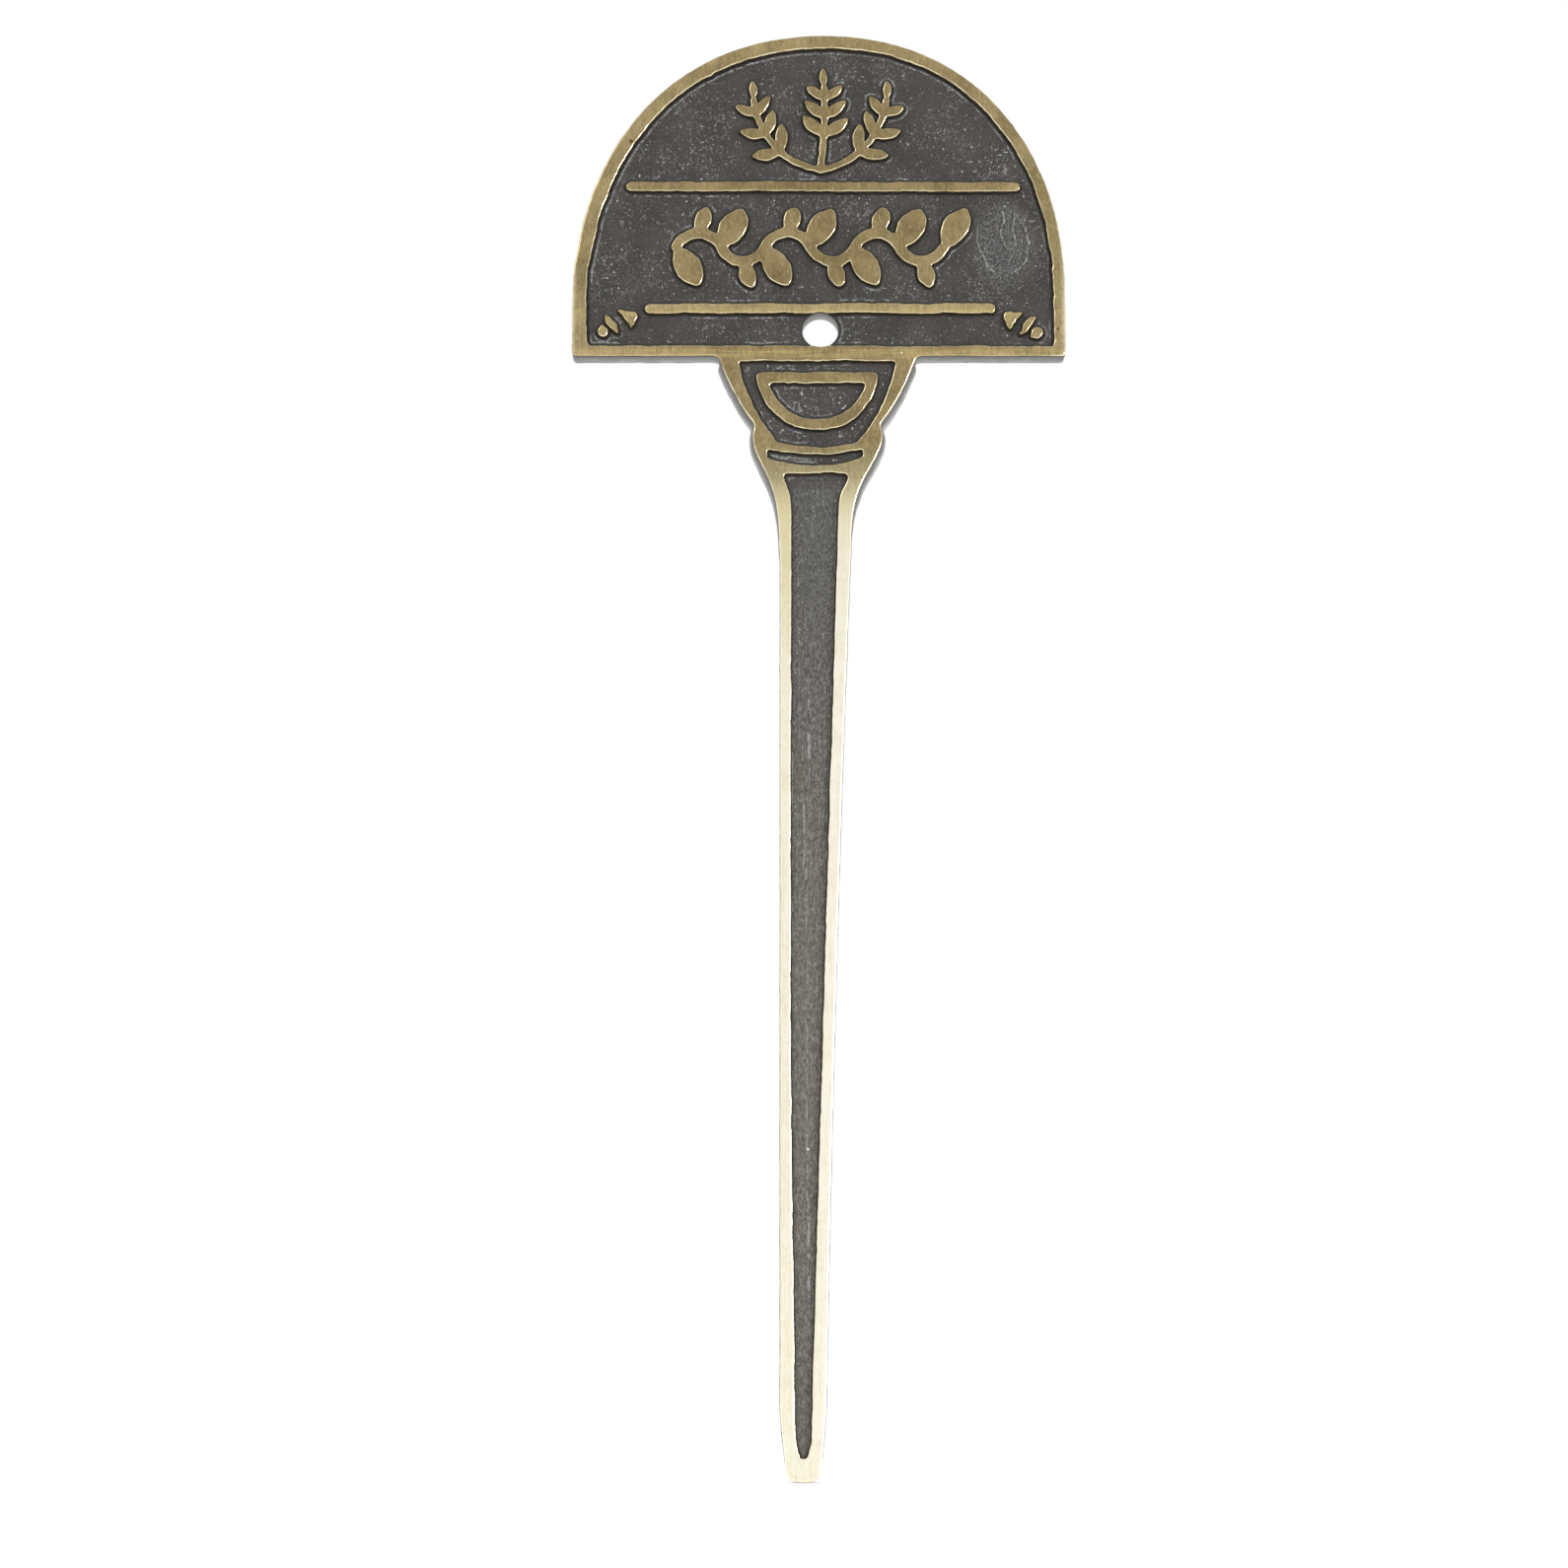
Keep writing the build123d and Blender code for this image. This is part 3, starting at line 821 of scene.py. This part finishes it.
def linished_brass():
    s = Shader("linished_brass_face")
    aside = s.math("ABSOLUTE", s.x)
    in_head = s.step(s.z, *FADE["head"])
    pale = s.step(s.z, *FADE["pale"])
    along_rules = s.step(aside, *FADE["rule_ends"])
    lower_rule = s.product(s.band(s.z, *BAND["lower_rule"]), along_rules)
    upper_rule = s.product(s.band(s.z, *BAND["upper_rule"]), along_rules)
    upright = s.noise(UPRIGHT, 4.2, 3, 0.6)
    level = s.noise(SIDEWAYS, 4.2, 3, 0.6, 7)
    cloud = s.noise(EVEN, 0.22, 3, 0.55, 3)
    # Toned metal of the head, the bowl and the collar: lighter at the sides than in the middle, which is a
    # painted reflection of light from the sides
    sides = s.product(s.step(aside, *FADE["sides"], 0.15, 0.6), s.step(s.z, *FADE["above_rule"], 1.0, 0.35))
    crown = s.step(s.z, *FADE["crown"], 0.0, 0.3)
    tone_and_sheen = s.total(sides, s.step(cloud, 0.25, 0.75, -0.1, 0.5), crown, s.product(lower_rule, 0.5))
    colour = s.mix(tone_and_sheen, *BRASS["toned_and_sheen"])
    # Painted sheen: a golden band along the rounded bottom edges of the bar and the lower rule
    low_side = s.total(s.band(s.z, *BAND["bar_edge"]), s.band(s.z, *BAND["rule_edge"]))
    golden_edge_sheen = s.product(s.step(level, 0.35, 0.6), low_side, in_head, 0.85)
    colour = s.mix(golden_edge_sheen, colour, BRASS["golden_edge_sheen"])
    # Light from the sides on the round of the head
    across, up = SKY_WAY
    upper_left = s.total(s.product(s.x, across), s.product(s.total(s.z, -SKY_HEIGHT), up))
    colour = s.mix(s.step(upper_left, *FADE["sky"], 0.0, 0.12), colour, BRASS["sky"])
    right_side = s.product(s.step(s.x, *FADE["right_rim"], 0.0, 0.6), in_head)
    right_side = s.product(right_side, s.step(s.z, *FADE["lower_rim"]))
    left_side = s.product(s.step(s.x, *FADE["left_rim"], 0.0, 0.35), in_head)
    colour = s.mix(s.math("MAXIMUM", right_side, left_side), colour, BRASS["rim_side"])
    # The collar and the blade, which get paler down to the blade's first third
    colour = s.mix(s.step(s.z, *FADE["collar"]), colour, BRASS["collar"])
    colour = s.mix(s.step(s.z, *FADE["shoulder"]), colour, BRASS["shoulder"])
    colour = s.mix(s.step(s.z, *FADE["blade"]), colour, BRASS["blade"])
    right_half = s.product(s.step(s.x, *FADE["right_half"]), s.step(s.z, *FADE["right_half_below"]), 0.6)
    colour = s.mix(right_half, colour, BRASS["blade_right"])
    # Brushing
    grain = s.total(s.product(upright, 0.55), s.product(s.noise((1, 1, 0.5), 2.6, 4, 0.7, 5), 0.45))
    dulled = s.mix(pale, *BRASS["dulled"])
    streaky = s.clumps((EVEN, 0.3, 2, 0.5, 19), 0.35, 0.62, 0.35, 1.0)
    colour = s.mix(s.product(s.step(grain, 0.4, 0.62, 0.0, 0.4), streaky), colour, dulled)
    mottle = s.noise((1, 1, 0.45), 3.1, 3, 0.7, 25)
    mottled = s.step(s.z, *FADE["pale"], 1.0, 0.4)
    colour = s.mix(s.product(s.step(mottle, 0.5, 0.66, 0.0, 0.26), mottled), colour, dulled)
    lighter = s.mix(pale, *BRASS["lighter"])
    colour = s.mix(s.product(s.step(mottle, 0.46, 0.32, 0.0, 0.3), mottled), colour, lighter)
    brushed = s.product(s.step(upright, 0.6, 0.75), s.step(cloud, 0.4, 0.6), 0.35)
    colour = s.mix(brushed, colour, s.mix(pale, *BRASS["brushed"]))
    # Painted highlights along the rounded edges, broken unevenly and weaker in places
    edge_highlight = s.clumps((EVEN, 0.45, 3, 0.6, 13), 0.34, 0.62, 0.3, 1.0)
    edge = s.product(s.step(s.depth, *FADE["round_edge"]), edge_highlight)
    under_bar = s.product(s.band(s.z, *BAND["under_bar"]), s.step(s.x, *FADE["bar_end"]), 0.75)
    left_of_rim = s.step(s.x, *FADE["left_of_rim"])
    outer_edge = s.product(s.step(s.outer_gap, *FADE["outer_edge"]), in_head, left_of_rim, 0.65)
    by_rule = s.product(s.math("MAXIMUM", lower_rule, upper_rule), 0.4)
    for less in (under_bar, outer_edge, by_rule):
        edge = s.product(edge, s.rest(less))
    colour = s.mix(edge, colour, s.mix(pale, *BRASS["edge_highlight"]))
    # Dents and a nick
    dents = s.spot(*DENTS[0])
    for dent in DENTS[1:]:
        dents = s.math("MAXIMUM", dents, s.spot(*dent))
    colour = s.mix(s.product(dents, 0.8), colour, BRASS["dent"])
    colour = s.mix(s.spot(*NICK), colour, BRASS["nick"])
    smoother_edge = s.product(s.step(s.depth, *FADE["smooth_edge"]), 0.18)
    roughness = s.math("SUBTRACT", s.total(0.28, s.product(grain, 0.16)), smoother_edge)
    height = s.total(grain, s.product(dents, -6.0))
    normal = s.bump(height, *RELIEF["brushing"])
    return s.finish(Base_Color=colour, Metallic=1.0, Roughness=roughness, Normal=normal)


def recess_wall():
    s = Shader("recess_wall")
    on_blade = s.step(s.z, *FADE["blade_wall"])
    ragged = s.total(s.depth, s.clumps((EVEN, 1.6, 3, 0.6), 0.3, 0.7, -0.08, 0.08))
    stain = s.step(ragged, *FADE["stain"])
    colour = s.mix(stain, WALL["bare"], s.mix(on_blade, *WALL["stained"]))
    return s.finish(Base_Color=colour, Metallic=s.rest(stain), Roughness=0.5)


def cast_side():
    s = Shader("cast_side")
    sand = s.noise(EVEN, 3.2, 4, 0.65)
    # Sides: brown shadow by the face, grey behind it
    colour = s.mix(s.step(s.depth, *FADE["side_shadow"]), *SIDE["by_face"])
    colour = s.mix(s.step(s.depth, *FADE["side_back"]), colour, SIDE["by_back"])
    neck = s.product(s.step(s.z, *FADE["neck"]), s.step(s.depth, *FADE["neck_side"]))
    colour = s.mix(s.product(neck, 0.7), colour, SIDE["neck"])
    colour = s.mix(s.clumps((EVEN, 0.35, 3, 0.5, 4), 0.35, 0.65, 0.0, 0.35), colour, SIDE["patch"])
    colour = s.mix(s.step(sand, 0.6, 0.8, 0.0, 0.6), colour, SIDE["sand"])
    # The back as it was cast: dull brass, clouded brown, rubbed paler in places
    back = s.mix(s.clumps((EVEN, 0.16, 4, 0.6, 23), 0.25, 0.75), *BACK["clouded"])
    rubbed = s.clumps(((1, 1, 0.4), 0.5, 4, 0.65, 29), 0.5, 0.66)
    rubbed = s.product(rubbed, s.step(sand, 0.35, 0.6, 0.2, 0.9), 0.4)
    back = s.mix(rubbed, back, BACK["rubbed"])
    back = s.mix(s.step(sand, 0.52, 0.72, 0.0, 0.7), back, BACK["sand"])
    colour = s.mix(s.step(s.depth, *FADE["back"]), colour, back)
    roughness = s.total(0.42, s.product(sand, 0.2))
    normal = s.bump(sand, *RELIEF["sand"])
    return s.finish(Base_Color=colour, Metallic=0.85, Roughness=roughness, Normal=normal)


def channel_paint(s, patch):
    """The channel's colour and its upright strokes: greyer and lighter downwards, flecked and scratched. The
    lightening downwards is painted light.
    """
    upper = s.step(s.z, *FADE["strokes_below"], 0.9, 1.0)
    lower = s.step(s.z, *FADE["broad_below"], 0.35, 1.0)
    broad = s.noise((1, 1, 0.3), 2.4, 3, 0.65, 83)
    strokes = s.noise((1, 1, 0.28), 6.5, 3, 0.7, 9)
    # Painted light: the base colour gets lighter down the channel
    colour = s.mix(s.step(s.z, *FADE["channel"]), *CHANNEL["base"])
    light, dark = CHANNEL["broad"]
    colour = s.mix(s.product(s.step(broad, 0.5, 0.66, 0.0, 0.5), lower), colour, light)
    colour = s.mix(s.product(s.step(broad, 0.5, 0.36, 0.0, 0.5), lower), colour, dark)
    light, dark = CHANNEL["strokes"]
    colour = s.mix(s.product(s.step(strokes, 0.5, 0.68, 0.0, 0.7), upper), colour, light)
    colour = s.mix(s.step(strokes, 0.48, 0.34, 0.0, 0.75), colour, dark)
    flecks = s.clumps(((1, 1, 0.8), 4.2, 3, 0.7, 61), 0.6, 0.68)
    flecks = s.product(flecks, s.step(patch, 0.4, 0.6, 0.25, 0.9), upper)
    colour = s.mix(flecks, colour, CHANNEL["fleck"])
    scratch = s.clumps(((1.6, 1, 0.02), 1.3, 2, 0.5, 51), 0.66, 0.7)
    scratch = s.product(scratch, s.clumps((EVEN, 0.5, 3, 0.7, 5), 0.45, 0.6), 0.6)
    colour = s.mix(scratch, colour, CHANNEL["scratch"])
    # One long line on the lower blade, which bends a little and breaks off in places
    bend = s.product(s.noise((1, 1, 0.3), 0.4, 2, 0.5, 67), LINE_BEND)
    beside = s.math("ABSOLUTE", s.total(s.x, -LINE_X, bend, -LINE_BEND / 2))
    line = s.product(s.step(beside, *FADE["long_line"]), s.clumps(((1, 1, 0.6), 1.4, 3, 0.6, 71), 0.45, 0.6))
    line = s.product(line, s.band(s.z, *BAND["long_line"]), 0.42)
    colour = s.mix(line, colour, CHANNEL["long_line"])
    colour = s.mix(s.spot(*CHIP), colour, CHANNEL["chip"])
    colour = s.mix(s.product(s.step(s.gap, *FADE["wall_foot"]), 0.6), colour, CHANNEL["wall_foot"])
    return colour, strokes


def pitted_paint():
    s = Shader("pitted_paint")
    on_blade = s.step(s.z, *FADE["blade_paint"])
    off_blade = s.rest(on_blade)
    small_ground = s.product(s.step(s.z, *BELOW_BAR), off_blade)
    open_ground = s.step(s.gap, *FADE["open_ground"])
    patch = s.noise(EVEN, 0.18, 3, 0.5, 2)
    calmer_foot = s.step(s.z, *FADE["field_foot"], s.turned(small_ground, 0.55, 1.0), 1.0)
    crowd = s.clumps((EVEN, 0.13, 3, 0.6, 31), 0.4, 0.66, 0.1, 1.0)
    crowd = s.product(crowd, s.turned(small_ground, 1.0, 0.75), calmer_foot)
    colour = s.mix(s.step(patch, 0.35, 0.65), *PAINT["base"])
    # Fine grain, and lumps, specks, dots and high places in light grey, which stand partly for paint rubbed
    # thin and partly for painted glints
    fine = s.noise((1, 1, 0.8), 4.6, 3, 0.7)
    lumps = s.product(s.clumps(((1, 1, 0.7), 2.6, 3, 0.65, 3), 0.56, 0.63), crowd, open_ground)
    specks = s.product(s.clumps(((1, 1, 0.8), 4.4, 3, 0.7, 17), 0.635, 0.675), crowd, open_ground)
    dots = s.clumps(((1, 1, 0.75), 3.3, 1, 0.5, 57), 0.7, 0.735)
    dots = s.product(dots, open_ground, s.step(crowd, 0.1, 0.6, 0.5, 1.0))
    high = s.step(s.depth, *FADE["high"])
    high = s.product(high, s.step(fine, 0.42, 0.58, 0.1, 1.0), open_ground, s.turned(small_ground, 0.5, 0.95))
    high = s.product(high, s.clumps((EVEN, 2.4, 2, 0.6, 81), 0.44, 0.58, 0.12, 1.0))
    colour = s.mix(s.step(fine, s.turned(small_ground, 0.46, 0.4), 0.68, 0.0, 0.5), colour, PAINT["fine"])
    colour = s.mix(s.product(lumps, 0.65), colour, PAINT["lump"])
    colour = s.mix(s.product(specks, 0.8), colour, PAINT["speck"])
    colour = s.mix(s.product(dots, 0.8), colour, PAINT["dot"])
    colour = s.mix(high, colour, PAINT["high"])
    # A broken light ridge beside each edge, and painted shade at the foot of each wall, between the ridge and
    # the wall
    ridge = s.product(s.step(s.gap, *FADE["ridge"]), s.step(s.gap, *FADE["past_ridge"]), off_blade)
    ridge = s.product(ridge, s.clumps((EVEN, 0.6, 3, 0.6, 41), 0.42, 0.58))
    ridge = s.product(ridge, s.clumps((EVEN, 0.11, 2, 0.5, 43), 0.5, 0.6))
    by_rim = s.product(s.step(s.outer_gap, *FADE["rim_ridge"]), s.step(s.outer_gap, *FADE["past_rim_ridge"]))
    by_rim = s.product(by_rim, s.step(s.z, *FADE["above_foot"]), s.step(s.x, *FADE["leftwards"], 0.2, 0.9))
    by_rim = s.product(by_rim, s.clumps((EVEN, 1.1, 3, 0.65, 45), 0.36, 0.5))
    ridge = s.product(s.math("MAXIMUM", ridge, by_rim), s.step(fine, 0.42, 0.58, 0.15, 1.0))
    colour = s.mix(ridge, colour, PAINT["ridge"])
    shade_by_wall = s.product(s.step(s.gap, *FADE["shade_by_wall"]), s.rest(s.product(on_blade, 0.8)), 0.65)
    colour = s.mix(shade_by_wall, colour, PAINT["shade_by_wall"])
    # The coarse patch at the right of the field with its flow lines
    worn = s.product(s.flow_patch, s.clumps(((1, 1, 0.6), 4.4, 3, 0.65, 37), 0.44, 0.58), open_ground)
    colour = s.mix(s.product(worn, 0.7), colour, PAINT["worn"])
    beside = s.math("ABSOLUTE", s.beside_flow)
    bent = s.total(beside, s.product(s.noise((1, 1, 0.3), 0.5, 2, 0.5, 73), 0.8))
    streak = s.step(s.math("PINGPONG", bent, STREAK_SPACING), *FADE["streak"], 0.0, 0.16)
    flow = s.product(s.total(s.step(beside, *FADE["flow_line"]), streak), s.flow_patch)
    flow = s.product(flow, s.clumps(((1, 1, 0.5), 2.2, 3, 0.65, 75), 0.42, 0.53), 0.75)
    colour = s.mix(flow, colour, PAINT["flow"])
    channel, strokes = channel_paint(s, patch)
    colour = s.mix(on_blade, colour, channel)
    height = s.total(fine, s.product(on_blade, strokes), s.product(worn, 0.8))
    return s.finish(
        Base_Color=colour,
        Metallic=0.0,
        Roughness=s.step(fine, 0.3, 0.7, 0.5, 0.34),
        Specular_IOR_Level=0.35,
        Normal=s.bump(height, *RELIEF["paint"]),
    )


casting_materials = [linished_brass(), recess_wall(), cast_side()]
paint_material = pitted_paint()
build_casting(casting_materials)
for name, spacing in PAINTS.items():
    build_paint(name, spacing, paint_material)


# Studio

FLOOR_HALF, FLOOR_LEVELS = 6.0, (0.9, 1.24)
WORLD_LEVELS = (0.84, 1.0)
AIM = (0, 0, 0.15)
LIGHTS = {
    "right_light": {"place": (0.85, -0.5, 0.12), "size": 0.2, "power": 3.4},
    "left_light": {"place": (-0.7, -0.5, 0.75), "size": 0.4, "power": 2.0},
}
SENSOR, LENS, CLIP_START = 36, 75.285, 0.01
CAMERA_PLACE, CAMERA_RISE = (-5.601, -485, 10), 10.8457


def seen_level(tree, unseen, seen):
    """One value where a surface is seen, mirrored or seen through glass, another where it gives light."""
    path = tree.nodes.new("ShaderNodeLightPath")
    is_seen = path.outputs["Is Camera Ray"]
    for kind in ("Is Glossy Ray", "Is Transmission Ray"):
        either = tree.nodes.new("ShaderNodeMath")
        either.operation = "MAXIMUM"
        tree.links.new(is_seen, either.inputs[0])
        tree.links.new(path.outputs[kind], either.inputs[1])
        is_seen = either.outputs[0]
    level = tree.nodes.new("ShaderNodeMapRange")
    level.inputs["To Min"].default_value = unseen
    level.inputs["To Max"].default_value = seen
    tree.links.new(is_seen, level.inputs["Value"])
    return level.outputs[0]


def stage_floor():
    mesh = bpy.data.meshes.new("studio_floor")
    corners = [(FLOOR_HALF * x, FLOOR_HALF * y, 0) for x, y in ((-1, -1), (1, -1), (1, 1), (-1, 1))]
    mesh.from_pydata(corners, [], [(0, 1, 2, 3)])
    floor = bpy.data.objects.new("studio_floor", mesh)
    bpy.context.scene.collection.objects.link(floor)
    floor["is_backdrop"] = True
    material = bpy.data.materials.new("studio_floor")
    material.use_nodes = True
    tree = material.node_tree
    shader = tree.nodes["Principled BSDF"]
    tree.links.new(seen_level(tree, *FLOOR_LEVELS), shader.inputs["Base Color"])
    shader.inputs["Roughness"].default_value = 1.0
    shader.inputs["Specular IOR Level"].default_value = 0.0
    mesh.materials.append(material)


def soft_light(name, place, size, power):
    lamp = bpy.data.lights.new(name, "AREA")
    lamp.shape = "RECTANGLE"
    lamp.size = lamp.size_y = size
    lamp.energy = power
    light = bpy.data.objects.new(name, lamp)
    light.location = place
    light.rotation_euler = (Vector(AIM) - Vector(place)).to_track_quat("-Z", "Y").to_euler()
    bpy.context.scene.collection.objects.link(light)


def studio_world():
    world = bpy.data.worlds.new("studio")
    bpy.context.scene.world = world
    world.use_nodes = True
    background = world.node_tree.nodes["Background"]
    background.inputs["Color"].default_value = (1, 1, 1, 1)
    world.node_tree.links.new(seen_level(world.node_tree, *WORLD_LEVELS), background.inputs["Strength"])


def photo_camera():
    camera = bpy.data.objects.new("camera", bpy.data.cameras.new("camera"))
    bpy.context.scene.collection.objects.link(camera)
    bpy.context.scene.camera = camera
    camera.data.sensor_width = SENSOR
    camera.data.lens = LENS
    camera.data.clip_start = CLIP_START
    camera.location = tuple(value * MM for value in CAMERA_PLACE)
    camera.rotation_euler = (math.radians(90 + CAMERA_RISE), 0, 0)


stage_floor()
studio_world()
for name, light in LIGHTS.items():
    soft_light(name, **light)
photo_camera()
bpy.context.scene.view_settings.view_transform = "Standard"

visual_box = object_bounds()
boxes = {"cad": [list(corner) for corner in cad_box], "visual": [list(corner) for corner in visual_box]}
